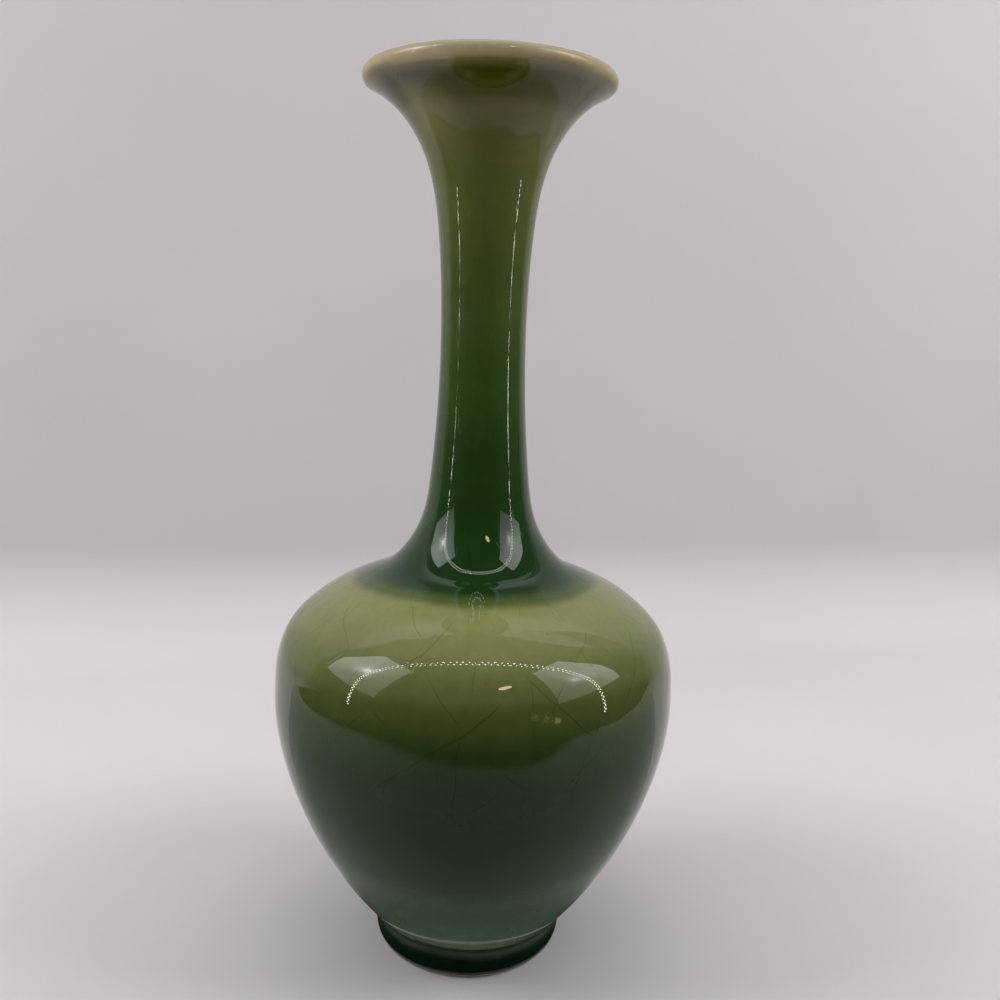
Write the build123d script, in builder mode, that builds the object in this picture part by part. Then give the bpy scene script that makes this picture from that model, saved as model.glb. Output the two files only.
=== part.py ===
from build123d import *
import os

# Long-necked bottle vase, thrown in sections, luted with slip and glazed.
# Millimetres. Z is the axis of the wheel and the vase stands on Z = 0.

# Foot ring, bare clay
foot_height = 8.8
foot_ring_width = 7.2
foot_swell = 0.4
foot_swell_rise = 3.2
foot_edge_inset = 0.1
foot_edge_height = 1.6
foot_bevel = 0.8
foot_bore_taper = 1.0
foot_bore_bevel = 0.8

# Outside of the thrown clay: stations from the foot up, each with its rise above the one below.
# The body is widest at the belly, and the stations around it are set in from there.
crease_radius = 26.8
hip_inset = 15.1
hip_rise = 20.7
flank_inset = 3.9
flank_rise = 25.0
belly_radius = 57.2
belly_rise = 23.0
shoulder_inset = 6.1
shoulder_rise = 22.0
crown_inset = 18.5
crown_rise = 9.2
collar_radius = 20.2
collar_rise = 10.4
neck_root_radius = 13.4
neck_root_rise = 22.4
throat_radius = 11.5
throat_rise = 34.0
neck_head_radius = 12.7
neck_head_rise = 32.0
flare_radius = 17.6
flare_rise = 22.0
mouth_radius = 25.2
mouth_rise = 11.0
lip_edge_radius = 33.15
lip_edge_rise = 5.5

# Clay wall, thinner towards the lip, and the floor of the bowl
wall_at_foot = 5.2
wall_at_lip = 3.3
floor_thickness = 6.0
floor_share = 0.1

# Luted seams: slip between the sections, with a tongue in a groove
slip_thickness = 0.5
key_depth = 1.2
key_width = 2.4

# Glaze: the outer coat is thicker towards the foot, where it has run
glaze_at_lip = 0.35
glaze_at_foot = 0.85
glaze_at_edge = 0.4
liner_at_floor = 0.5
base_coat = 0.5
base_coat_stop = 3.0

# Points taken along a curve to lay another beside it
curve_steps = 24
foot_steps = 3

os.makedirs("parts", exist_ok=True)


def beside(curve, t, depth):
    """The point at t, moved by depth to the right of a curve that runs upwards."""
    along = curve % t
    return curve @ t + Vector(along.Y, -along.X) * depth


def between(low, high, t):
    """A depth that changes evenly from the start of a curve to its end."""
    return low + (high - low) * t


def steps_from(start):
    """Evenly spaced places along a curve, from start to its end."""
    return [start + (1 - start) * i / curve_steps for i in range(curve_steps + 1)]


# The driving curve: the outside of the clay from the crease above the foot to the lip
base_height = foot_height + slip_thickness
stations = [Vector(crease_radius, base_height)]
for radius, rise in (
    (belly_radius - hip_inset, hip_rise),
    (belly_radius - flank_inset, flank_rise),
    (belly_radius, belly_rise),
    (belly_radius - shoulder_inset, shoulder_rise),
    (belly_radius - crown_inset, crown_rise),
    (collar_radius, collar_rise),
    (neck_root_radius, neck_root_rise),
    (throat_radius, throat_rise),
    (neck_head_radius, neck_head_rise),
    (flare_radius, flare_rise),
    (mouth_radius, mouth_rise),
    (lip_edge_radius, lip_edge_rise),
):
    stations.append(Vector(radius, stations[-1].Y + rise))
belly = stations[3]
collar = stations[6]
outside = Spline(*stations)

# Rolled lip: half a circle across the end of the wall
lip_along = outside % 1
lip_outside = outside @ 1
lip_inside = beside(outside, 1, -wall_at_lip)
lip_crest = beside(outside, 1, -wall_at_lip / 2) + lip_along * (wall_at_lip / 2)

# Inside of the clay: from the middle of the floor, then up beside the outside
floor_middle = Vector(0, base_height + floor_thickness)
wall_points = []
for t in steps_from(floor_share):
    wall_points.append(beside(outside, t, -between(wall_at_foot, wall_at_lip, t)))
inside = Spline(
    floor_middle,
    *wall_points,
    tangents=[Vector(1, 0), lip_along],
    tangent_scalars=[1, 1],
)

# Cross section of the whole clay wall, before the seams part it
with BuildSketch(Plane.XZ) as wall_section:
    with BuildLine():
        add(outside)
        ThreePointArc(lip_outside, lip_crest, lip_inside)
        add(inside)
        Polyline(floor_middle, (0, base_height), stations[0])
    make_face()


def keyed_cut(place, shift):
    """Cut square to the wall at a station, with a groove across its middle."""
    t = outside.param_at_point(place)
    wall = between(wall_at_foot, wall_at_lip, t)
    move = (outside % t) * shift
    groove = (outside % t) * key_depth
    return [
        beside(outside, t, wall) + move,
        beside(outside, t, (key_width - wall) / 2) + move,
        beside(outside, t, -wall / 2) + move - groove,
        beside(outside, t, -(key_width + wall) / 2) + move,
        beside(outside, t, -wall * 2) + move,
    ]


def below(cut):
    """Closed outline of all that lies under a cut."""
    wide = belly_radius * 2
    return [(wide, cut[0].Y), *cut, (0, cut[-1].Y), (0, 0), (wide, 0)]


belly_under = keyed_cut(belly, -slip_thickness / 2)
belly_over = keyed_cut(belly, slip_thickness / 2)
neck_under = keyed_cut(collar, -slip_thickness / 2)
neck_over = keyed_cut(collar, slip_thickness / 2)

# Foot ring: swelling side above a bevelled edge, tapered bore
foot_top = Vector(crease_radius, foot_height)
foot_edge = Vector(crease_radius - foot_edge_inset, foot_edge_height)
foot_middle = Vector(crease_radius + foot_swell, foot_edge_height + foot_swell_rise)
foot_side = Spline(foot_edge, foot_middle, foot_top)
foot_bore_radius = crease_radius - foot_ring_width
bore_low = Vector(foot_bore_radius + foot_bore_taper, foot_bore_bevel)
bore_high = Vector(foot_bore_radius, foot_height)
bore_side = Line(bore_low, bore_high)
with BuildPart() as foot_ring:
    with BuildSketch(Plane.XZ):
        with BuildLine():
            add(foot_side)
            Line(foot_top, bore_high)
            add(bore_side)
            Polyline(
                bore_low,
                (bore_low.X + foot_bore_bevel, 0),
                (foot_edge.X - foot_bevel, 0),
                foot_edge,
            )
        make_face()
    revolve(axis=Axis.Z)
foot_ring.part.label = "foot_ring"
export_step(foot_ring.part, "parts/foot_ring.step")

# Slip between the foot ring and the base
with BuildPart() as foot_slip:
    with BuildSketch(Plane.XY.offset(foot_height)):
        Circle(crease_radius)
        Circle(foot_bore_radius, mode=Mode.SUBTRACT)
    extrude(amount=slip_thickness)
foot_slip.part.label = "foot_slip"
export_step(foot_slip.part, "parts/foot_slip.step")

# Lower body: the bowl with the floor, grooved along its rim
with BuildPart() as lower_body:
    with BuildSketch(Plane.XZ):
        add(wall_section.sketch_local)
        with BuildLine():
            Polyline(*below(belly_under), close=True)
        make_face(mode=Mode.INTERSECT)
    revolve(axis=Axis.Z)
lower_body.part.label = "lower_body"
export_step(lower_body.part, "parts/lower_body.step")

# Slip in the seam at the belly
with BuildPart() as belly_slip:
    with BuildSketch(Plane.XZ):
        add(wall_section.sketch_local)
        with BuildLine():
            Polyline(*below(belly_over), close=True)
        make_face(mode=Mode.INTERSECT)
        with BuildLine():
            Polyline(*below(belly_under), close=True)
        make_face(mode=Mode.SUBTRACT)
    revolve(axis=Axis.Z)
belly_slip.part.label = "belly_slip"
export_step(belly_slip.part, "parts/belly_slip.step")

# Upper body: the dome of the shoulder, with a tongue below and a groove above
with BuildPart() as upper_body:
    with BuildSketch(Plane.XZ):
        add(wall_section.sketch_local)
        with BuildLine():
            Polyline(*below(neck_under), close=True)
        make_face(mode=Mode.INTERSECT)
        with BuildLine():
            Polyline(*below(belly_over), close=True)
        make_face(mode=Mode.SUBTRACT)
    revolve(axis=Axis.Z)
upper_body.part.label = "upper_body"
export_step(upper_body.part, "parts/upper_body.step")

# Slip in the seam at the root of the neck
with BuildPart() as neck_slip:
    with BuildSketch(Plane.XZ):
        add(wall_section.sketch_local)
        with BuildLine():
            Polyline(*below(neck_over), close=True)
        make_face(mode=Mode.INTERSECT)
        with BuildLine():
            Polyline(*below(neck_under), close=True)
        make_face(mode=Mode.SUBTRACT)
    revolve(axis=Axis.Z)
neck_slip.part.label = "neck_slip"
export_step(neck_slip.part, "parts/neck_slip.step")

# Neck: the tube with the trumpet mouth, with a tongue below
with BuildPart() as neck:
    with BuildSketch(Plane.XZ):
        add(wall_section.sketch_local)
        with BuildLine():
            Polyline(*below(neck_over), close=True)
        make_face(mode=Mode.SUBTRACT)
    revolve(axis=Axis.Z)
neck.part.label = "neck"
export_step(neck.part, "parts/neck.step")

# Outer glaze: from the edge of the foot, across the crease, up the wall and over the lip
foot_coat = []
for t in (i / foot_steps for i in range(foot_steps)):
    foot_coat.append(beside(foot_side, t, between(glaze_at_edge, glaze_at_foot, t)))
crease_coat = Vector(crease_radius + glaze_at_foot, foot_height + slip_thickness / 2)
wall_coat = []
for t in steps_from(0)[1:]:
    wall_coat.append(beside(outside, t, between(glaze_at_foot, glaze_at_lip, t)))
lip_coat_crest = lip_crest + lip_along * glaze_at_lip
lip_coat_inside = beside(outside, 1, -wall_at_lip - glaze_at_lip)
with BuildPart() as outer_glaze:
    with BuildSketch(Plane.XZ):
        with BuildLine():
            add(foot_side)
            Line(foot_top, stations[0])
            add(outside)
            ThreePointArc(lip_outside, lip_crest, lip_inside)
            Line(lip_inside, lip_coat_inside)
            ThreePointArc(lip_coat_inside, lip_coat_crest, wall_coat[-1])
            Spline(crease_coat, *wall_coat)
            Spline(*foot_coat, crease_coat)
            Line(foot_coat[0], foot_edge)
        make_face()
    revolve(axis=Axis.Z)
outer_glaze.part.label = "outer_glaze"
export_step(outer_glaze.part, "parts/outer_glaze.step")

# Inner glaze: the poured coat over the floor and up the inside to the lip
liner_points = []
for t in steps_from(0):
    liner_points.append(beside(inside, t, -between(liner_at_floor, glaze_at_lip, t)))
with BuildPart() as inner_glaze:
    with BuildSketch(Plane.XZ):
        with BuildLine():
            add(inside)
            Line(lip_inside, liner_points[-1])
            Spline(*liner_points, tangents=[Vector(1, 0), lip_along], tangent_scalars=[1, 1])
            Line(liner_points[0], floor_middle)
        make_face()
    revolve(axis=Axis.Z)
inner_glaze.part.label = "inner_glaze"
export_step(inner_glaze.part, "parts/inner_glaze.step")

# Base glaze: under the base and part of the way down the bore of the foot ring
bore_stop = (base_coat_stop - foot_bore_bevel) / (foot_height - foot_bore_bevel)
with BuildPart() as base_glaze:
    with BuildSketch(Plane.XZ):
        with BuildLine():
            Polyline(
                (0, base_height),
                (foot_bore_radius, base_height),
                bore_high,
                bore_side @ bore_stop,
                beside(bore_side, bore_stop, -base_coat),
                (foot_bore_radius - base_coat, base_height - base_coat),
                (0, base_height - base_coat),
                close=True,
            )
        make_face()
    revolve(axis=Axis.Z)
base_glaze.part.label = "base_glaze"
export_step(base_glaze.part, "parts/base_glaze.step")
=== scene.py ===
import math

import bmesh
import bpy
import numpy as np
from mathutils import Matrix, Vector


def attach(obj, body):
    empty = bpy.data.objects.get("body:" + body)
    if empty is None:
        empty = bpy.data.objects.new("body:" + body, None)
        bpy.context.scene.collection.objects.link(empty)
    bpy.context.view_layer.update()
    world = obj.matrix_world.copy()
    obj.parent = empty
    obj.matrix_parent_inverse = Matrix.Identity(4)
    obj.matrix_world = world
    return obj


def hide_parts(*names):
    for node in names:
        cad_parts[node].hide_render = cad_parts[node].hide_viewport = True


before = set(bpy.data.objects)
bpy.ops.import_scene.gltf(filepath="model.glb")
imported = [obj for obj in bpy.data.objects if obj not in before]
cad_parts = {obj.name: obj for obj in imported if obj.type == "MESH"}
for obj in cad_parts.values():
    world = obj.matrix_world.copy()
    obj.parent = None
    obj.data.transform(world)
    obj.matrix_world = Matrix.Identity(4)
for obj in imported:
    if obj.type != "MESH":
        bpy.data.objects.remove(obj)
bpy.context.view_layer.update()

# Foot ring: a ring of buff clay, thrown by itself and luted under the base with slip.
# Its outside is glazed over. The edge that it stands on was wiped bare before the firing
# and shows the lines that the turning tool left.

foot_ring_outline = [  # radius and height in mm, round the section
    (26.70, 1.60), (26.55, 1.20), (26.20, 0.45), (25.90, 0.12), (25.60, 0.00),
    (25.10, 0.00), (24.90, 0.10), (24.70, 0.00), (24.00, 0.00), (23.75, 0.13),
    (23.50, 0.00), (22.80, 0.00), (22.62, 0.09), (22.44, 0.00), (21.75, 0.00),
    (21.40, 0.08), (21.05, 0.32), (20.75, 0.62), (20.55, 1.00), (20.30, 3.20),
    (19.95, 6.00), (19.60, 8.80), (22.00, 8.80), (24.40, 8.80), (26.80, 8.80),
    (26.98, 7.60), (27.12, 6.20), (27.20, 4.80), (27.08, 3.40), (26.86, 2.30),
]


def turned(name, outline, around=192):
    """A piece as it comes off the wheel: a closed outline in mm, swept round the axis.
    Each point keeps how far along the outline it lies, in mm, as "along"."""
    outline = np.asarray(outline, float)
    count = len(outline)
    turn = np.arange(around) * 2 * math.pi / around
    points = np.empty((count, around, 3))
    points[:, :, 0] = outline[:, :1] * np.cos(turn)
    points[:, :, 1] = outline[:, :1] * np.sin(turn)
    points[:, :, 2] = outline[:, 1:]
    faces = []
    for ring in range(count):
        above = (ring + 1) % count
        for step in range(around):
            beyond = (step + 1) % around
            faces.append((
                ring * around + step, ring * around + beyond,
                above * around + beyond, above * around + step,
            ))
    mesh = bpy.data.meshes.new(name)
    mesh.from_pydata((points.reshape(-1, 3) / 1000).tolist(), [], faces)
    lengths = np.hypot(*np.diff(outline, axis=0).T)
    along = np.concatenate([[0], np.cumsum(lengths)])
    kept = mesh.attributes.new("along", "FLOAT", "POINT")
    kept.data.foreach_set("value", np.repeat(along, around).astype(np.float32))
    shaped = bmesh.new()
    shaped.from_mesh(mesh)
    bmesh.ops.remove_doubles(shaped, verts=shaped.verts, dist=1e-7)
    bmesh.ops.recalc_face_normals(shaped, faces=shaped.faces)
    shaped.to_mesh(mesh)
    shaped.free()
    mesh.shade_smooth()
    piece = bpy.data.objects.new(name, mesh)
    bpy.context.scene.collection.objects.link(piece)
    return piece


def shader(tree, kind, feeds=None, **settings):
    """One shader node, with its settings and with what feeds its sockets."""
    made = tree.nodes.new(kind)
    for setting, value in settings.items():
        setattr(made, setting, value)
    for socket, feed in (feeds or {}).items():
        if isinstance(feed, bpy.types.NodeSocket):
            tree.links.new(feed, made.inputs[socket])
        else:
            made.inputs[socket].default_value = feed
    return made


def mixed(tree, share, first, second, blend="MIX"):
    """The colour part of the way from the first to the second."""
    made = shader(
        tree, "ShaderNodeMix", {0: share, 6: first, 7: second},
        data_type="RGBA", blend_type=blend,
    )
    return made.outputs[2]


def ramp(tree, feed, stops, smooth="LINEAR"):
    """Colours or greys laid along a value from 0 to 1."""
    made = shader(tree, "ShaderNodeValToRGB", {0: feed})
    made.color_ramp.interpolation = smooth
    bar = made.color_ramp.elements
    while len(bar) < len(stops):
        bar.new(0.5)
    for stop, (place, colour) in zip(bar, stops):
        stop.position = place
        stop.color = colour if len(colour) == 4 else (*colour, 1)
    return made.outputs["Color"]


def fresh_material(name):
    """An empty material with its output, and its node tree."""
    made = bpy.data.materials.new(name)
    made.use_nodes = True
    made.node_tree.nodes.clear()
    return made, made.node_tree


# Grain of fired clay, shared by the thrown pieces and the slip: soft clouds of tone,
# dark iron specks, and rings from the wheel.
clay_grain = bpy.data.node_groups.new("clay_grain", "ShaderNodeTree")
for socket, start in (("Fineness", 400.0), ("Speck Share", 0.1), ("Wheel Rings", 0.5)):
    made = clay_grain.interface.new_socket(socket, in_out="INPUT", socket_type="NodeSocketFloat")
    made.default_value = start
for socket in ("Tone", "Speck", "Height"):
    clay_grain.interface.new_socket(socket, in_out="OUTPUT", socket_type="NodeSocketFloat")
given = clay_grain.nodes.new("NodeGroupInput")
place = shader(clay_grain, "ShaderNodeTexCoord").outputs["Object"]
clouds = shader(clay_grain, "ShaderNodeTexNoise", {
    "Vector": place, "Scale": given.outputs["Fineness"], "Detail": 6.0, "Roughness": 0.62,
})
spots = shader(clay_grain, "ShaderNodeTexVoronoi", {"Vector": place, "Scale": 900.0})
speck = shader(clay_grain, "ShaderNodeMath", {
    0: spots.outputs["Distance"], 1: given.outputs["Speck Share"],
}, operation="LESS_THAN")
rings = shader(clay_grain, "ShaderNodeTexWave", {
    "Vector": place, "Scale": 90.0, "Distortion": 1.5, "Detail": 2.0,
}, bands_direction="Z")
ring_height = shader(clay_grain, "ShaderNodeMath", {
    0: rings.outputs["Fac"], 1: given.outputs["Wheel Rings"],
}, operation="MULTIPLY")
height = shader(clay_grain, "ShaderNodeMath", {
    0: clouds.outputs["Fac"], 1: ring_height.outputs[0],
}, operation="ADD")
shader(clay_grain, "NodeGroupOutput", {
    "Tone": clouds.outputs["Fac"], "Speck": speck.outputs[0], "Height": height.outputs[0],
})


def clay_material(name, dark, pale, speck_share, wheel_rings, fineness):
    """Unglazed clay: two tones in clouds, a few iron specks, dry and slightly rough."""
    made, tree = fresh_material(name)
    grain = shader(tree, "ShaderNodeGroup", {}, node_tree=clay_grain)
    grain.inputs["Fineness"].default_value = fineness
    grain.inputs["Speck Share"].default_value = speck_share
    grain.inputs["Wheel Rings"].default_value = wheel_rings
    tone = ramp(tree, grain.outputs["Tone"], [(0.3, dark), (0.7, pale)])
    iron = (0.09, 0.06, 0.035, 1)
    colour = mixed(tree, grain.outputs["Speck"], tone, iron)
    rough = ramp(tree, grain.outputs["Tone"], [(0.3, (0.9,) * 3), (0.7, (0.7,) * 3)])
    bump = shader(tree, "ShaderNodeBump", {
        "Height": grain.outputs["Height"], "Strength": 0.35, "Distance": 0.0002,
    })
    surface = shader(tree, "ShaderNodeBsdfPrincipled", {
        "Base Color": colour, "Roughness": rough, "Normal": bump.outputs["Normal"],
        "IOR": 1.45,
    })
    shader(tree, "ShaderNodeOutputMaterial", {"Surface": surface.outputs[0]})
    return made


bare_clay = clay_material(
    "bare_clay", (0.40, 0.33, 0.23), (0.60, 0.52, 0.39),
    speck_share=0.10, wheel_rings=0.25, fineness=420.0,
)
foot_ring = turned("foot_ring_clay", foot_ring_outline)
foot_ring.data.materials.append(bare_clay)
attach(foot_ring, "root")
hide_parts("foot_ring")

# Thrown sections: the bowl with the floor, the dome of the shoulder, and the neck.
# Each is thrown from the same buff clay and carries wheel rings. Glaze covers them
# inside and out, so the frame's own solids stay and are given the clay.

thrown_clay = clay_material(
    "thrown_clay", (0.42, 0.35, 0.25), (0.62, 0.54, 0.41),
    speck_share=0.08, wheel_rings=0.8, fineness=260.0,
)
for section in ("lower_body", "upper_body", "neck"):
    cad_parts[section].data.materials.clear()
    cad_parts[section].data.materials.append(thrown_clay)

# Slip: liquid clay brushed into the keyed seams before the sections were pressed together.
# It fires paler and finer than the clay around it, and holds the foot, belly and neck seams.

fired_slip = clay_material(
    "fired_slip", (0.54, 0.47, 0.36), (0.68, 0.61, 0.48),
    speck_share=0.04, wheel_rings=0.0, fineness=700.0,
)
for seam in ("foot_slip", "belly_slip", "neck_slip"):
    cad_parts[seam].data.materials.clear()
    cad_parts[seam].data.materials.append(fired_slip)

# Inner glaze: poured in, rolled round and poured out, so that the vase holds water.
# It is thickest on the floor of the bowl and thins up the neck to the lip.

liner_stations = [  # radius and height in mm, from the middle of the floor to the lip
    (0.00, 15.80), (9.61, 16.76), (18.88, 19.50), (27.48, 23.88), (34.87, 30.08),
    (40.45, 37.96), (44.55, 46.72), (47.96, 55.77), (50.58, 65.08), (51.96, 74.64),
    (51.74, 84.30), (49.26, 93.60), (43.06, 100.92), (34.71, 105.76), (25.91, 109.77),
    (18.01, 115.29), (12.61, 123.25), (10.01, 132.54), (8.87, 142.14), (8.11, 151.79),
    (7.58, 161.45), (7.31, 171.12), (7.28, 180.79), (7.50, 190.46), (8.02, 200.12),
    (8.86, 209.76), (10.27, 219.33), (12.89, 228.63), (17.26, 237.24), (23.56, 244.54),
    (31.63, 249.82),
]


def flowing(stations, gap):
    """A smooth line through stations in mm, with a point about every gap along it."""
    fixed = np.array(stations, float)
    reach = np.concatenate([[0], np.cumsum(np.hypot(*np.diff(fixed, axis=0).T))])
    span = np.diff(reach)
    last = len(fixed) - 1
    known = np.eye(last + 1)
    known[0, 1] = known[last, last - 1] = -1
    bend = np.zeros((last + 1, 2))
    for i in range(1, last):
        known[i, i - 1:i + 2] = span[i - 1], 2 * (span[i - 1] + span[i]), span[i]
        slope_on = (fixed[i + 1] - fixed[i]) / span[i]
        slope_back = (fixed[i] - fixed[i - 1]) / span[i - 1]
        bend[i] = 6 * (slope_on - slope_back)
    bend = np.linalg.solve(known, bend)
    at = np.linspace(0, reach[-1], int(reach[-1] / gap) + 1)
    i = np.clip(np.searchsorted(reach, at, side="right") - 1, 0, last - 1)
    left = (reach[i + 1] - at)[:, None]
    right = (at - reach[i])[:, None]
    width = span[i][:, None]
    return (
        bend[i] * left ** 3 / (6 * width) + bend[i + 1] * right ** 3 / (6 * width)
        + (fixed[i] / width - bend[i] * width / 6) * left
        + (fixed[i + 1] / width - bend[i + 1] * width / 6) * right
    )


def coat_outline(face, start, end, side):
    """Outline of a coat: its open face, then back along the clay that it lies on."""
    ahead = np.gradient(face, axis=0)
    ahead /= np.hypot(*ahead.T)[:, None]
    square = np.stack([ahead[:, 1], -ahead[:, 0]], axis=1) * side
    depth = np.linspace(start, end, len(face))[:, None]
    clay_side = face + square * depth
    clay_side[:, 0] = np.maximum(clay_side[:, 0], 0)
    return np.concatenate([face, clay_side[::-1][::2]])


# Crazing of the glaze, shared by the coats: three sets of long fine cracks that slant round the
# vase, cross each other, bend a little, and fade in and out.
crazing = bpy.data.node_groups.new("crazing", "ShaderNodeTree")
for socket, start in (("Width", 0.014), ("Shown", 0.5)):
    made = crazing.interface.new_socket(socket, in_out="INPUT", socket_type="NodeSocketFloat")
    made.default_value = start
crazing.interface.new_socket("Line", in_out="OUTPUT", socket_type="NodeSocketFloat")
given = crazing.nodes.new("NodeGroupInput")
place = shader(crazing, "ShaderNodeTexCoord").outputs["Object"]
sides = shader(crazing, "ShaderNodeSeparateXYZ", {0: place})
round_angle = shader(crazing, "ShaderNodeMath", {
    0: sides.outputs["X"], 1: sides.outputs["Y"],
}, operation="ARCTAN2")
crack_sets = [  # cracks round the vase, cracks in a metre upwards, start of the bends
    (15, 42.0, 0.0), (13, -36.0, 3.0), (21, 9.0, 7.0),
]
crack_bend = 1.3
lines = None
for cracks_round, cracks_up, start in crack_sets:
    slanted = shader(crazing, "ShaderNodeMath", {
        0: sides.outputs["Z"], 1: cracks_up, 2: start,
    }, operation="MULTIPLY_ADD")
    across = shader(crazing, "ShaderNodeMath", {
        0: round_angle.outputs[0], 1: cracks_round / (2 * math.pi), 2: slanted.outputs[0],
    }, operation="MULTIPLY_ADD")
    bends = shader(crazing, "ShaderNodeTexNoise", {
        "W": start, "Vector": place, "Scale": 28.0, "Detail": 2.0, "Roughness": 0.45,
    }, noise_dimensions="4D")
    bent = shader(crazing, "ShaderNodeMath", {
        0: bends.outputs["Fac"], 1: crack_bend, 2: across.outputs[0],
    }, operation="MULTIPLY_ADD")
    beside = shader(crazing, "ShaderNodeMath", {0: bent.outputs[0], 1: 0.5}, operation="PINGPONG")
    thin = shader(crazing, "ShaderNodeMapRange", {
        "Value": beside.outputs[0], "From Min": 0.0, "From Max": given.outputs["Width"],
        "To Min": 1.0, "To Max": 0.0,
    }, interpolation_type="SMOOTHSTEP")
    fade = shader(crazing, "ShaderNodeTexNoise", {
        "W": start + 1.0, "Vector": place, "Scale": 60.0, "Detail": 2.0,
    }, noise_dimensions="4D")
    shown = shader(crazing, "ShaderNodeMapRange", {
        "Value": fade.outputs["Fac"], "From Min": 0.44, "From Max": 0.58,
        "To Min": 0.0, "To Max": given.outputs["Shown"],
    }, interpolation_type="SMOOTHSTEP")
    line = shader(crazing, "ShaderNodeMath", {
        0: thin.outputs[0], 1: shown.outputs[0],
    }, operation="MULTIPLY").outputs[0]
    if lines is not None:
        line = shader(crazing, "ShaderNodeMath", {
            0: lines, 1: line,
        }, operation="MAXIMUM").outputs[0]
    lines = line
shader(crazing, "NodeGroupOutput", {"Line": lines})


shade_wander = 2.4  # mm that the shades stray up and down the coat
crack_width, crack_stain = 0.016, (0.40, 0.46, 0.34, 1)
pit_reach, pit_shade = 0.035, (0.5, 0.5, 0.45, 1)


def glaze_material(name, shades, length, cracks, flaws=()):
    """Glossy coloured glaze: shades laid along the coat, with streaks, crazing, pinholes and
    pale spots, each of a given place, reach, strength, raggedness and colour."""
    made, tree = fresh_material(name)
    place = shader(tree, "ShaderNodeTexCoord").outputs["Object"]
    along = shader(tree, "ShaderNodeAttribute", {}, attribute_name="along").outputs["Fac"]
    wander = shader(tree, "ShaderNodeTexNoise", {"Vector": place, "Scale": 38.0, "Detail": 2.0})
    shift = shader(tree, "ShaderNodeMapRange", {
        "Value": wander.outputs["Fac"], "To Min": -shade_wander, "To Max": shade_wander,
    })
    moved = shader(tree, "ShaderNodeMath", {0: along, 1: shift.outputs[0]}, operation="ADD")
    share = shader(tree, "ShaderNodeMath", {0: moved.outputs[0], 1: length}, operation="DIVIDE")
    colour = ramp(tree, share.outputs[0], shades, "EASE")
    upright = shader(tree, "ShaderNodeVectorMath", {
        0: place, 1: (1.0, 1.0, 0.12),
    }, operation="MULTIPLY")
    streaks = shader(tree, "ShaderNodeTexNoise", {
        "Vector": upright.outputs[0], "Scale": 190.0, "Detail": 3.0, "Roughness": 0.6,
    })
    streak = ramp(tree, streaks.outputs["Fac"], [(0.25, (0.80,) * 3), (0.75, (1.0,) * 3)])
    colour = mixed(tree, 0.55, colour, streak, "MULTIPLY")
    clouds = shader(tree, "ShaderNodeTexNoise", {"Vector": place, "Scale": 420.0, "Detail": 5.0})
    cloud = ramp(tree, clouds.outputs["Fac"], [(0.3, (0.86,) * 3), (0.7, (1.0,) * 3)])
    colour = mixed(tree, 0.6, colour, cloud, "MULTIPLY")
    for flaw_place, flaw_reach, flaw_strength, flaw_ragged, flaw_colour in flaws:
        grit = shader(tree, "ShaderNodeTexNoise", {
            "Vector": place, "Scale": 1500.0, "Detail": 4.0, "Roughness": 0.7,
        })
        away = shader(tree, "ShaderNodeVectorMath", {0: place, 1: flaw_place}, operation="DISTANCE")
        ragged = shader(tree, "ShaderNodeMath", {
            0: grit.outputs["Fac"], 1: flaw_ragged * flaw_reach, 2: away.outputs["Value"],
        }, operation="MULTIPLY_ADD")
        flaw = shader(tree, "ShaderNodeMapRange", {
            "Value": ragged.outputs[0], "From Min": (0.1 + 0.5 * flaw_ragged) * flaw_reach,
            "From Max": (0.9 + 0.5 * flaw_ragged) * flaw_reach,
            "To Min": flaw_strength, "To Max": 0.0,
        }, interpolation_type="SMOOTHSTEP")
        colour = mixed(tree, flaw.outputs[0], colour, (*flaw_colour, 1))
    craze = shader(tree, "ShaderNodeGroup", {}, node_tree=crazing)
    craze.inputs["Width"].default_value = crack_width
    shown = ramp(tree, share.outputs[0], [(there, (strength,) * 3) for there, strength in cracks])
    tree.links.new(shown, craze.inputs["Shown"])
    stained = mixed(tree, 1.0, colour, crack_stain, "MULTIPLY")
    colour = mixed(tree, craze.outputs["Line"], colour, stained)
    pits = shader(tree, "ShaderNodeTexVoronoi", {"Vector": place, "Scale": 180.0})
    pit = shader(tree, "ShaderNodeMath", {
        0: pits.outputs["Distance"], 1: pit_reach,
    }, operation="LESS_THAN")
    pitted = mixed(tree, 1.0, colour, pit_shade, "MULTIPLY")
    colour = mixed(tree, pit.outputs[0], colour, pitted)
    rough = ramp(tree, clouds.outputs["Fac"], [(0.3, (0.006,) * 3), (0.7, (0.018,) * 3)])
    ripple = shader(tree, "ShaderNodeTexNoise", {"Vector": place, "Scale": 60.0, "Detail": 2.0})
    waves = shader(tree, "ShaderNodeBump", {
        "Height": ripple.outputs["Fac"], "Strength": 0.5, "Distance": 0.0002,
    })
    cut = shader(tree, "ShaderNodeMath", {0: craze.outputs["Line"], 1: -1.0}, operation="MULTIPLY")
    bump = shader(tree, "ShaderNodeBump", {
        "Height": cut.outputs[0], "Strength": 0.3, "Distance": 0.00005,
        "Normal": waves.outputs["Normal"],
    })
    surface = shader(tree, "ShaderNodeBsdfPrincipled", {
        "Base Color": colour, "Roughness": rough, "Normal": bump.outputs["Normal"], "IOR": 1.5,
    })
    shader(tree, "ShaderNodeOutputMaterial", {"Surface": surface.outputs[0]})
    return made


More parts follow.
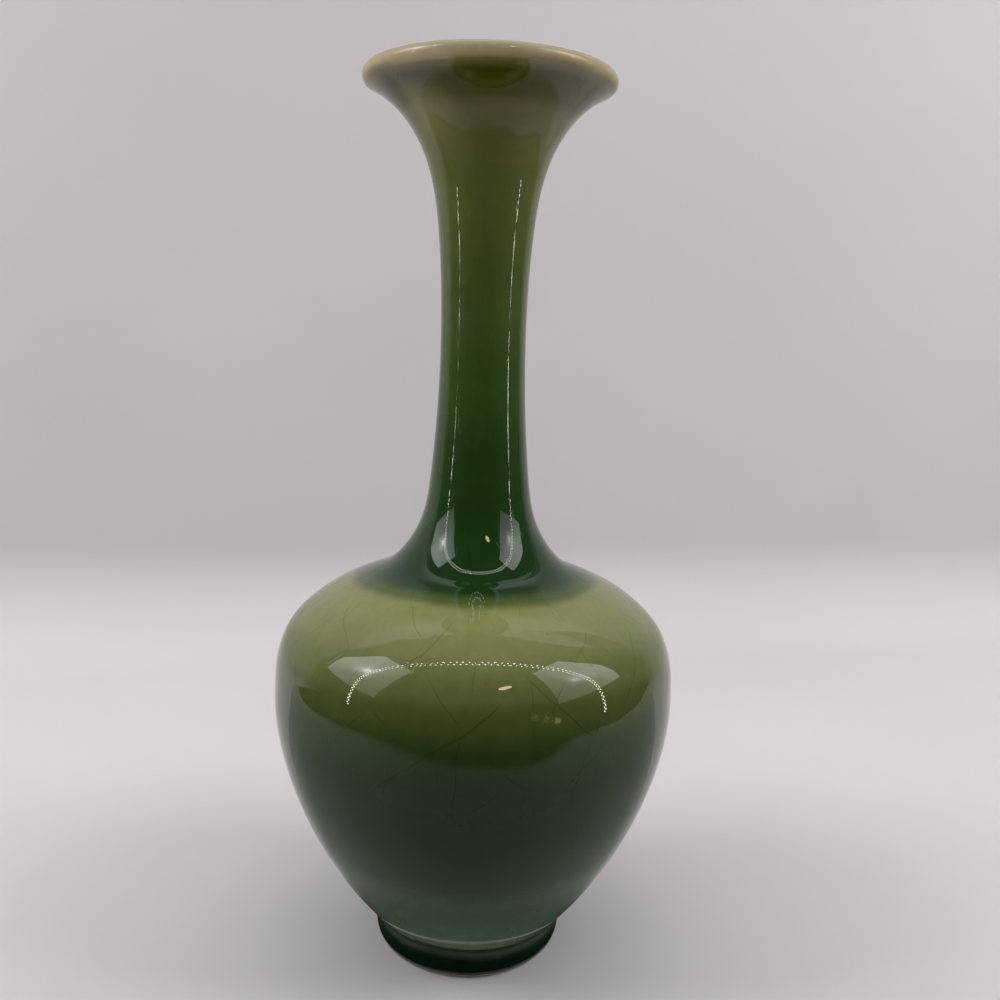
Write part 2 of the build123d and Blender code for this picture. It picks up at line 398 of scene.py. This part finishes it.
liner_face = flowing(liner_stations, 1.6)
liner_length = float(np.hypot(*np.diff(liner_face, axis=0).T).sum())
liner_shades = [  # share of the way up the coat, colour of the fired glaze
    (0.00, (0.020, 0.060, 0.025)), (0.30, (0.030, 0.075, 0.028)),
    (0.70, (0.060, 0.110, 0.040)), (0.88, (0.130, 0.170, 0.075)),
    (0.96, (0.230, 0.230, 0.120)), (1.00, (0.380, 0.320, 0.180)),
]
liner_at_floor, liner_at_lip = 0.50, 0.35
liner_outline = coat_outline(liner_face, liner_at_floor, liner_at_lip, 1)
inner_glaze = turned("inner_glaze_coat", liner_outline, around=128)
inner_glaze.data.materials.append(
    glaze_material("poured_glaze", liner_shades, liner_length, [(0.3, 0.6), (0.9, 0.3)])
)
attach(inner_glaze, "root")
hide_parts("inner_glaze")

# Outer glaze: clear glossy green over the pale clay, from the edge of the foot to the lip.
# It was shaded twice, once down the neck and once down the body, so it runs from cream at
# the lip to deep green on the skirt of the neck, and from pale olive to deep green below.
# Near the foot its colours also hold painted shade and a painted reflection.

foot_face = [  # radius and height in mm, from the foot up, as for the crease and the wall
    (26.42, 0.72), (26.80, 1.06), (27.12, 1.62), (27.40, 2.40),
    (27.69, 3.93), (27.87, 6.46), (27.72, 8.30),
]
crease = [(27.68, 8.75), (27.80, 9.12)]
wall_stations = [
    (28.10, 9.52), (30.23, 12.00), (32.70, 15.00), (36.50, 20.00), (40.58, 26.00),
    (44.73, 33.00), (48.28, 40.00), (51.67, 48.00), (54.40, 56.00), (56.44, 64.00),
    (57.43, 70.00), (57.88, 76.00), (57.76, 82.00), (57.27, 88.06), (55.95, 93.13),
    (54.07, 97.15), (51.90, 100.01), (49.04, 102.74), (46.05, 105.13), (42.23, 107.71),
    (38.36, 109.75), (33.88, 111.70), (29.31, 113.58), (25.42, 115.60), (22.77, 118.04),
    (20.55, 120.75), (18.65, 123.70), (16.99, 127.08), (15.40, 132.01), (14.40, 138.00),
    (13.57, 146.00), (12.77, 156.00), (12.17, 168.00), (11.96, 180.00), (12.15, 192.00),
    (12.65, 202.00), (13.44, 211.00), (14.43, 218.00), (15.83, 224.00), (17.59, 229.00),
    (19.56, 233.00), (21.45, 236.00), (23.38, 238.50), (25.22, 240.50), (27.44, 242.50),
    (29.45, 244.00), (31.93, 245.50), (33.296, 246.182),
]
lip_middle, lip_radius = (32.461, 248.0), 2.0
lip_from, lip_to = math.radians(-65.3), math.radians(114.7)
lip_steps = 24
lip_turn = np.linspace(lip_from, lip_to, lip_steps + 1)[1:]
lip_face = np.stack([
    lip_middle[0] + lip_radius * np.cos(lip_turn),
    lip_middle[1] + lip_radius * np.sin(lip_turn),
], axis=1)
wall_face = flowing(wall_stations, 1.0)
outer_face = np.concatenate([flowing(foot_face, 0.5), crease, wall_face, lip_face])
outer_reach = np.concatenate([[0], np.cumsum(np.hypot(*np.diff(outer_face, axis=0).T))])
outer_length = float(outer_reach[-1])
outer_shades_with_painted_light = [  # height on the vase in mm, colour of the fired glaze, with painted light near the foot
    # Near the foot these colours hold painted light. From 1.8 to 6.6 mm the deep green is made near
    # black: partly the glaze's own colour, partly painted shade for the shaded floor that the foot
    # reflects. From 7.9 to 31 mm the glaze is made paler: partly the glaze thinning at the crease,
    # partly a painted reflection of the lit floor beside the foot. The darker dip at 9.8 mm is
    # painted shade in the crease.
    (0.7, (0.067, 0.074, 0.0225)), (1.8, (0.001, 0.012, 0.0040)),
    (6.6, (0.001, 0.012, 0.0040)), (7.9, (0.046, 0.060, 0.0400)),
    (9.8, (0.028, 0.044, 0.0260)), (11.6, (0.165, 0.225, 0.1550)),
    (22.0, (0.092, 0.146, 0.0920)), (31.0, (0.054, 0.087, 0.0460)),
    (42.0, (0.018, 0.040, 0.0108)), (56.0, (0.014, 0.030, 0.0074)),
    (70.0, (0.017, 0.035, 0.0083)), (80.0, (0.023, 0.046, 0.0087)),
    (90.0, (0.065, 0.085, 0.0198)), (95.0, (0.115, 0.136, 0.0395)),
    (104.0, (0.193, 0.208, 0.0747)), (108.0, (0.224, 0.237, 0.0873)),
    (110.6, (0.217, 0.234, 0.0833)), (112.1, (0.070, 0.099, 0.0228)),
    (113.9, (0.009, 0.035, 0.0069)), (128.0, (0.012, 0.044, 0.0068)),
    (147.0, (0.019, 0.049, 0.0073)), (168.0, (0.034, 0.072, 0.0130)),
    (190.0, (0.056, 0.088, 0.0181)), (222.0, (0.097, 0.111, 0.0295)),
    (231.0, (0.114, 0.117, 0.0382)), (237.0, (0.120, 0.110, 0.0397)),
    (240.5, (0.058, 0.062, 0.0045)), (244.0, (0.047, 0.049, 0.0027)),
    (245.8, (0.120, 0.109, 0.0381)), (246.8, (0.323, 0.272, 0.1412)),
    (247.8, (0.494, 0.398, 0.2094)), (249.0, (0.445, 0.379, 0.2386)),
]
outer_cracks = [  # height on the vase in mm, how much of the crazing shows
    (8.0, 0.1), (50.0, 0.3), (75.0, 0.6), (100.0, 0.6), (110.0, 0.3),
    (140.0, 0.45), (205.0, 0.45), (230.0, 0.15), (244.0, 0.0),
]


def along_coat(stops):
    """The same stops, with each height turned into a share of the way along the outer coat."""
    past_crest = lip_steps // 2
    heights = np.maximum.accumulate(outer_face[:-past_crest, 1])
    moved = []
    for height, value in stops:
        there = np.interp(height, heights, outer_reach[:-past_crest])
        moved.append((float(there) / outer_length, value))
    return moved


outer_pale_spots = [  # three blisters, and a paler patch on the left under the mouth: the places and reaches are in m
    ((0.0206, -0.0533, 0.0887), 0.0013, 0.80, 3.6, (0.20, 0.25, 0.08)),
    ((0.0180, -0.0542, 0.0893), 0.0016, 0.30, 3.6, (0.20, 0.25, 0.08)),
    ((0.0150, -0.0550, 0.0899), 0.0015, 0.25, 3.6, (0.20, 0.25, 0.08)),
    ((-0.0160, -0.0160, 0.2370), 0.0125, 0.50, 0.3, (0.22, 0.20, 0.075)),
]
coat_at_foot, coat_at_lip = 0.80, 0.35
outer_outline = coat_outline(outer_face, coat_at_foot, coat_at_lip, -1)
outer_glaze = turned("outer_glaze_coat", outer_outline)
outer_glaze.data.materials.append(
    glaze_material(
        "shaded_green_glaze_with_painted_light", along_coat(outer_shades_with_painted_light), outer_length, along_coat(outer_cracks),
        outer_pale_spots,
    )
)
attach(outer_glaze, "root")
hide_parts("outer_glaze")

# Base glaze: the same glaze brushed over the recess under the base, inside the foot ring.
# It stops part of the way down the bore, where it was wiped off the resting edge.

base_face = np.concatenate([
    flowing([
        (20.10, 2.98), (19.82, 3.30), (19.62, 4.60), (19.36, 6.60),
        (19.16, 7.80), (18.90, 8.40), (18.30, 8.70),
    ], 0.4),
    flowing([(17.60, 8.78), (15.00, 8.80), (9.00, 8.80), (4.00, 8.80), (0.00, 8.80)], 1.2),
])
base_length = float(np.hypot(*np.diff(base_face, axis=0).T).sum())
base_shades = [  # share of the way from the bore to the middle, colour of the fired glaze
    (0.00, (0.160, 0.160, 0.075)), (0.08, (0.060, 0.085, 0.030)), (0.26, (0.014, 0.045, 0.018)),
    (0.50, (0.035, 0.070, 0.026)), (1.00, (0.055, 0.085, 0.034)),
]
base_outline = np.concatenate([base_face, [
    (0.00, 9.30), (6.00, 9.30), (12.00, 9.30), (19.60, 9.30), (19.60, 8.80), (20.30, 3.02),
]])
base_glaze = turned("base_glaze_coat", base_outline, around=128)
base_glaze.data.materials.append(
    glaze_material("brushed_glaze", base_shades, base_length, [(0.1, 0.0), (0.4, 0.7)])
)
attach(base_glaze, "root")
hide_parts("base_glaze")

# Sheet: a pale paper sheet under the vase, swept up behind and around it as a plain cove.
# Its paper has painted shade: darker up the walls, and a painted shadow round the foot.
# From below it lets the camera through, and under the foot the light too, so that the base can
# be looked at.

cove_low, cove_high = Vector((-1.8, -1.8, 0.0)), Vector((1.8, 0.300, 1.8))
cove_round = 0.055
foot_opening = 0.0235
shaped = bmesh.new()
bmesh.ops.create_cube(shaped, size=1.0)
bmesh.ops.scale(shaped, vec=cove_high - cove_low, verts=shaped.verts)
bmesh.ops.translate(shaped, vec=(cove_high + cove_low) / 2, verts=shaped.verts)
top_faces = [face for face in shaped.faces if face.normal.z > 0.9]
bmesh.ops.delete(shaped, geom=top_faces, context="FACES_ONLY")
folds = [edge for edge in shaped.edges if not edge.is_boundary]
bmesh.ops.bevel(shaped, geom=folds, offset=cove_round, segments=16, profile=0.5, affect="EDGES")
bmesh.ops.reverse_faces(shaped, faces=shaped.faces)
sheet_mesh = bpy.data.meshes.new("pale_sheet")
shaped.to_mesh(sheet_mesh)
shaped.free()
sheet_mesh.shade_smooth()
sheet = bpy.data.objects.new("pale_sheet", sheet_mesh)
sheet_turn = Matrix.Rotation(0.17, 4, "Z")
sheet.matrix_world = sheet_turn
bpy.context.scene.collection.objects.link(sheet)
paper, tree = fresh_material("pale_paper")
place = shader(tree, "ShaderNodeTexCoord").outputs["Object"]
fibres = shader(tree, "ShaderNodeTexNoise", {"Vector": place, "Scale": 6.0, "Detail": 4.0})
paper_tone_and_painted_shade = ramp(tree, fibres.outputs["Fac"], [
    (0.3, (0.605, 0.583, 0.588)), (0.7, (0.635, 0.615, 0.618)),
])
upwards = shader(tree, "ShaderNodeSeparateXYZ", {0: place}).outputs["Z"]
# Painted shade: the paper is made darker from 2 to 6 cm up and above, on the walls of the cove, for
# the weaker light that falls on the walls than on the floor.
painted_wall_shade = ramp(tree, upwards, [(0.02, (1.0, 1.0, 1.0)), (0.06, (0.93, 0.93, 0.94))])
paper_tone_and_painted_shade = mixed(tree, 1.0, paper_tone_and_painted_shade, painted_wall_shade, "MULTIPLY")
away = shader(tree, "ShaderNodeVectorMath", {0: place}, operation="LENGTH").outputs["Value"]
shaded = ramp(tree, away, [  # painted shadow: the paper made darker round the foot, for the vase's shade on it
    (0.030, (0.80, 0.80, 0.81)), (0.046, (0.87, 0.87, 0.88)),
    (0.066, (0.97, 0.97, 0.97)), (0.085, (1.0, 1.0, 1.0)),
])
paper_tone_and_painted_shade = mixed(tree, 1.0, paper_tone_and_painted_shade, shaded, "MULTIPLY")
matt = shader(tree, "ShaderNodeBsdfDiffuse", {"Color": paper_tone_and_painted_shade})
clear = shader(tree, "ShaderNodeBsdfTransparent")
behind = shader(tree, "ShaderNodeNewGeometry").outputs["Backfacing"]
under_foot = shader(tree, "ShaderNodeMath", {
    0: away, 1: foot_opening,
}, operation="LESS_THAN").outputs[0]
open_here = shader(tree, "ShaderNodeMath", {
    0: behind, 1: under_foot,
}, operation="MAXIMUM").outputs[0]
seen = shader(tree, "ShaderNodeMixShader", {
    0: open_here, 1: matt.outputs[0], 2: clear.outputs[0],
})
shader(tree, "ShaderNodeOutputMaterial", {"Surface": seen.outputs[0]})
sheet_mesh.materials.append(paper)

# Reflected surroundings: a dim room beyond the open front of the cove, a frame of small
# lights round the opening, and two lit panels by its upper corners. Only the gloss sees them.

def reflected(name, corners, faces, glows, colour=(1, 1, 1)):
    """A surface that shows in the gloss of the glaze and nowhere else, glowing at its corners."""
    mesh = bpy.data.meshes.new(name)
    mesh.from_pydata([Vector(corner) for corner in corners], [], faces)
    kept = mesh.attributes.new("glow", "FLOAT", "POINT")
    kept.data.foreach_set("value", np.array(glows, np.float32))
    made, tree = fresh_material(name)
    glow = shader(tree, "ShaderNodeAttribute", {}, attribute_name="glow").outputs["Fac"]
    lit = shader(tree, "ShaderNodeEmission", {"Color": (*colour, 1), "Strength": glow})
    shader(tree, "ShaderNodeOutputMaterial", {"Surface": lit.outputs[0]})
    mesh.materials.append(made)
    piece = bpy.data.objects.new(name, mesh)
    bpy.context.scene.collection.objects.link(piece)
    piece.visible_camera = False
    piece.visible_diffuse = False
    piece.visible_shadow = False
    piece.visible_transmission = False


def towards(turn, rise, far):
    """The point in a direction from the vase: degrees to the right of the front, and upwards."""
    turn, rise = math.radians(turn), math.radians(rise)
    level = far * math.cos(rise)
    return (level * math.sin(turn), -0.04 - level * math.cos(turn), 0.10 + far * math.sin(rise))


def rows_of_faces(rows, columns):
    """Faces between neighbouring rows of corners."""
    faces = []
    for row in range(rows - 1):
        for column in range(columns - 1):
            first = row * columns + column
            faces.append((first, first + 1, first + columns + 1, first + columns))
    return faces


room_far, room_columns = 1.6, 41
room_edge = [  # degrees upwards, degrees to each side
    (-5, 112), (12, 113), (30, 115), (37, 112), (45, 110), (51, 107),
    (58, 105), (66, 104), (75, 103), (84, 102), (89, 100),
]
corners, glows = [], []
for rise, half in room_edge:
    for turn in np.linspace(-half, half, room_columns):
        corners.append(towards(turn, rise, room_far))
        glows.append(float(np.interp(abs(turn), [36, 52], [0.02, 0.07])))
reflected("dim_room", corners, rows_of_faces(len(room_edge), room_columns), glows)
room_top = [(-0.48, -0.25, 1.7), (0.48, -0.25, 1.7), (-0.48, 0.13, 1.7), (0.48, 0.13, 1.7)]
reflected("dim_room_top", room_top, rows_of_faces(2, 2), [0.03, 0.03, 0.08, 0.08])

table_edge = [  # degrees to the right of the front, m from the axis
    (-112, 1.20), (-107, 0.52), (-102, 0.36), (-92, 0.318), (-76, 0.308), (-57, 0.303),
    (-40, 0.288), (-24, 0.262), (-10, 0.246), (4, 0.240), (23, 0.236), (33, 0.246),
    (43, 0.285), (55, 0.322), (81, 0.362), (99, 0.470), (112, 1.20),
]
table_columns, table_height, unlit = 57, 0.0006, 0.02
table_turns = np.linspace(-112, 112, table_columns)
table_reach = np.interp(table_turns, *zip(*table_edge))
near_turns = [0, 30, 60, 96, 110, 180]
near_glows = [0.22, 0.26, 0.32, 0.34, 0.46, 0.46]
near_glow = np.interp(np.abs(table_turns), near_turns, near_glows)
table_glow = np.interp(np.abs(table_turns), [0, 22, 45, 70], [0.20, 0.22, 0.40, 0.52])
beyond_turns = [-95, -70, -50, -36, -22, 24, 38, 52, 70, 100]
beyond_glows = [0.50, 0.65, 0.55, 0.30, 0.02, 0.02, 0.14, 0.34, 0.50, 0.50]
beyond_glow = np.interp(table_turns, beyond_turns, beyond_glows)


def round_front(rows):
    """Corners and glows of a surface round the front: rows of reach, height and glow."""
    corners, glows = [], []
    for reaches, height, glow in rows:
        every_reach, every_glow = reaches + 0 * table_reach, glow + 0 * table_reach
        for turn, far, lit in zip(np.radians(table_turns), every_reach, every_glow):
            corners.append((far * math.sin(turn), -far * math.cos(turn), height))
            glows.append(lit)
    return corners, glows


foot_shade = [(0.028, 0.04), (0.036, 0.13), (0.052, 1.0)]  # m from the axis, share of the glow
shade_columns = 73
corners, glows = [], []
for far, share in foot_shade:
    for turn in np.linspace(-180, 180, shade_columns):
        angle = math.radians(turn)
        corners.append((far * math.sin(angle), -far * math.cos(angle), table_height))
        glows.append(share * float(np.interp(abs(turn), near_turns, near_glows)))
reflected("shade_round_foot", corners, rows_of_faces(len(foot_shade), shade_columns), glows)

table_rows = [
    (0.052, table_height, near_glow), (0.150, table_height, near_glow),
    (table_reach - 0.018, table_height, table_glow),
    (table_reach, table_height, table_glow * 0.5),
    (table_reach + 0.012, table_height, unlit), (1.75, table_height, unlit),
]
corners, glows = round_front(table_rows)
reflected("dim_table_front", corners, rows_of_faces(len(table_rows), table_columns), glows)

# Slats beyond the table edge, tilted so that the neck looks down on their pale upper sides
# and the belly looks at their dark undersides.
slat_aim, slat_height, slat_thick, slat_end = 0.158, 0.0012, 0.0004, 0.95
corners, glows, faces = [], [], []
slat_front = table_reach + 0.010
while slat_front.min() < slat_end:
    slat_rear = slat_front * 1.06
    slat_rise = slat_aim * (1 - slat_front / slat_rear).max()
    faded = np.interp(slat_front, [0.42, slat_end], [1.0, 0.05])
    for lift, glow in ((0.0, beyond_glow * faded), (-slat_thick, unlit)):
        first = len(corners)
        more, lit = round_front([
            (slat_front, slat_rise + slat_height + lift, glow),
            (slat_rear, slat_height + lift, glow),
        ])
        corners += more
        glows += lit
        for face in rows_of_faces(2, table_columns):
            faces.append(tuple(first + corner for corner in face))
    slat_front = slat_rear
reflected("slats", corners, faces, glows)

wall_rows = [  # height on the wall above the sheet, glow at its sides and in the middle
    (0.21, 0.52, 0.50), (0.30, 0.45, 0.45), (0.50, 0.43, 0.42),
    (0.57, 0.42, 0.16), (0.77, 0.55, 0.16), (0.88, 0.75, 0.60),
    (0.96, 0.85, 0.85), (1.20, 0.95, 0.95), (1.70, 0.95, 0.95),
]
wall_back = 0.29
wall_side_left, wall_side_right, wall_middle = (-0.8, -0.235), (0.34, 0.8), (-0.145, 0.25)
wall_columns = wall_side_left + wall_middle + wall_side_right
corners, glows = [], []
for height, at_side, in_middle in wall_rows:
    for x in wall_columns:
        corners.append(sheet_turn @ Vector((x, wall_back, height)))
        glows.append(in_middle if x in wall_middle else at_side)
reflected("dim_wall_above", corners, rows_of_faces(len(wall_rows), len(wall_columns)), glows)

panel_far = 1.5
panel_rings = [(0.02, 1.0), (0.16, 0.30), (0.40, 0.06), (1.0, 0.0)]
left_panel = [  # degrees to the right of the front, degrees upwards, glow
    (-101, 17, 2.1), (-96, 36, 3.4), (-86, 55, 3.0), (-49, 53, 1.9),
    (-51, 25, 1.3), (-56, 10, 0.9), (-75, 13, 1.3),
]
right_panel = [
    (49, 55, 2.1), (82, 57, 3.0), (94, 35, 3.4), (93, 15, 2.1),
    (70, 13, 1.1), (48, 12, 0.9), (47, 27, 1.3),
]
for name, edge, (hot_turn, hot_rise, hot_glow) in (
    ("left_panel", left_panel, (-73, 36, 15.0)),
    ("right_panel", right_panel, (67, 33, 8.0)),
):
    corners, glows = [], []
    for share, near_hot in panel_rings:
        for turn, rise, glow in edge + edge[:1]:
            ring_turn = hot_turn + (turn - hot_turn) * share
            ring_rise = hot_rise + (rise - hot_rise) * share
            corners.append(towards(ring_turn, ring_rise, panel_far))
            glows.append(glow + (hot_glow - glow) * near_hot)
    faces = rows_of_faces(len(panel_rings), len(edge) + 1)
    reflected(name, corners, faces, glows, (0.97, 1.0, 0.99))

bulb_corners, bulb_glow, bulb_far = 12, 12.0, 1.2
bulb = []
for turn in np.linspace(0, 2 * math.pi, bulb_corners + 1)[:-1]:
    bulb_turn, bulb_rise = 20.5 + 4.5 * math.cos(turn), 39 + 3.0 * math.sin(turn + 0.6)
    bulb.append(towards(bulb_turn, bulb_rise, bulb_far))
bulb_face = [tuple(range(bulb_corners))]
reflected("warm_bulb", bulb, bulb_face, [bulb_glow] * bulb_corners, (1.0, 0.80, 0.45))

frame_half, frame_foot, frame_rise, frame_power = 0.867, 0.025, 1.144, 3.94
bead_long, bead_thick, bead_gap, bead_glow = 0.011, 0.0085, 0.050, 28.0
bead_faces = [
    (0, 2, 4), (2, 1, 4), (1, 3, 4), (3, 0, 4), (2, 0, 5), (1, 2, 5), (3, 1, 5), (0, 3, 5),
]


def on_frame(there):
    """The place on the frame of lights at a length along it, from the left foot."""
    return [float(np.interp(there, frame_reach, frame_line[:, i])) for i in (0, 1)]


turns = np.linspace(0, math.pi, 4001)
frame_line = np.stack([
    -frame_half * np.sign(np.cos(turns)) * np.abs(np.cos(turns)) ** (2 / frame_power),
    frame_foot + frame_rise * np.abs(np.sin(turns)) ** (2 / frame_power),
], axis=1)
frame_reach = np.concatenate([[0], np.cumsum(np.hypot(*np.diff(frame_line, axis=0).T))])
corners, faces = [], []
for row in (0, 1):
    for there in np.arange(bead_gap * row / 2, frame_reach[-1], bead_gap):
        (x, z), (x_on, z_on) = on_frame(there), on_frame(there + 0.001)
        run = Vector((x_on - x, 0, z_on - z)).normalized()
        apart = (row - 0.5) * (0.010 + 0.030 * z)
        middle = Vector((x, -0.30 + 0.046 * x - 0.03 * z + apart, z - 0.042 * x))
        across, out = run.cross((0, 1, 0)) * bead_thick, Vector((0, bead_thick, 0))
        first = len(corners)
        for ahead in (run * bead_long, -run * bead_long, out, -out, across, -across):
            corners.append(middle + ahead)
        for a, b, c in bead_faces:
            faces.append((first + a, first + b, first + c))
reflected("frame_of_lights", corners, faces, [bead_glow] * len(corners), (1.0, 0.97, 0.86))

# Lamps: two broad soft lamps to the left and right, a weak bar above the rear of the sheet,
# and a soft pale sky over the open top.

def soft_lamp(name, place, aim, wide, tall, power):
    """A rectangular lamp with soft light, turned towards a point."""
    lamp = bpy.data.lights.new(name, "AREA")
    lamp.shape = "RECTANGLE"
    lamp.size, lamp.size_y, lamp.energy = wide, tall, power
    made = bpy.data.objects.new(name, lamp)
    made.location = place
    made.rotation_euler = (Vector(aim) - Vector(place)).to_track_quat("-Z", "Y").to_euler()
    made.visible_glossy = False
    bpy.context.scene.collection.objects.link(made)


lamp_aim, lamp_far, lamp_wide, lamp_tall = (0.0, 0.0, 0.12), 0.9, 0.45, 0.40
soft_lamp("lamp_left", towards(-84, 37, lamp_far), lamp_aim, lamp_wide, lamp_tall, 4.75)
soft_lamp("lamp_right", towards(83, 38, lamp_far), lamp_aim, lamp_wide, lamp_tall, 4.6)
soft_lamp("lamp_rear", (0.0, 0.16, 0.80), (0.0, 0.20, 0.0), 1.2, 0.15, 0.7)
world = bpy.data.worlds.new("soft_sky")
world.use_nodes = True
tree = world.node_tree
tree.nodes.clear()
sky = shader(tree, "ShaderNodeBackground", {"Color": (1.0, 0.985, 0.99, 1), "Strength": 0.56})
pale = shader(tree, "ShaderNodeBackground", {"Color": (0.80, 0.78, 0.785, 1), "Strength": 1.0})
path = shader(tree, "ShaderNodeLightPath")
looked = shader(tree, "ShaderNodeMath", {
    0: path.outputs["Is Camera Ray"], 1: path.outputs["Is Glossy Ray"],
}, operation="MAXIMUM")
looked = shader(tree, "ShaderNodeMath", {
    0: looked.outputs[0], 1: path.outputs["Is Transmission Ray"],
}, operation="MAXIMUM")
both = shader(tree, "ShaderNodeMixShader", {
    0: looked.outputs[0], 1: sky.outputs[0], 2: pale.outputs[0],
})
shader(tree, "ShaderNodeOutputWorld", {"Surface": both.outputs[0]})
bpy.context.scene.world = world

# Camera: held close, above the middle of the vase and below its lip, tilted down and slightly
# turned.

camera_place = Vector((0.0, -0.28467, 0.18185))
camera_turn, camera_tilt, camera_roll = 0.02142, -0.16700, 0.03143
ahead = Vector((
    math.sin(camera_turn) * math.cos(camera_tilt),
    math.cos(camera_turn) * math.cos(camera_tilt),
    math.sin(camera_tilt),
))
level = Vector((math.cos(camera_turn), -math.sin(camera_turn), 0.0))
over = level.cross(ahead)
right = level * math.cos(camera_roll) + over * math.sin(camera_roll)
up = over * math.cos(camera_roll) - level * math.sin(camera_roll)
lens = bpy.data.cameras.new("camera")
lens.sensor_width = 36.0
lens.lens = 36.0
lens.clip_start = 0.01
camera = bpy.data.objects.new("camera", lens)
camera.matrix_world = Matrix((right, up, -ahead)).transposed().to_4x4()
camera.location = camera_place
bpy.context.scene.collection.objects.link(camera)
bpy.context.scene.camera = camera
bpy.context.scene.view_settings.view_transform = "Standard"
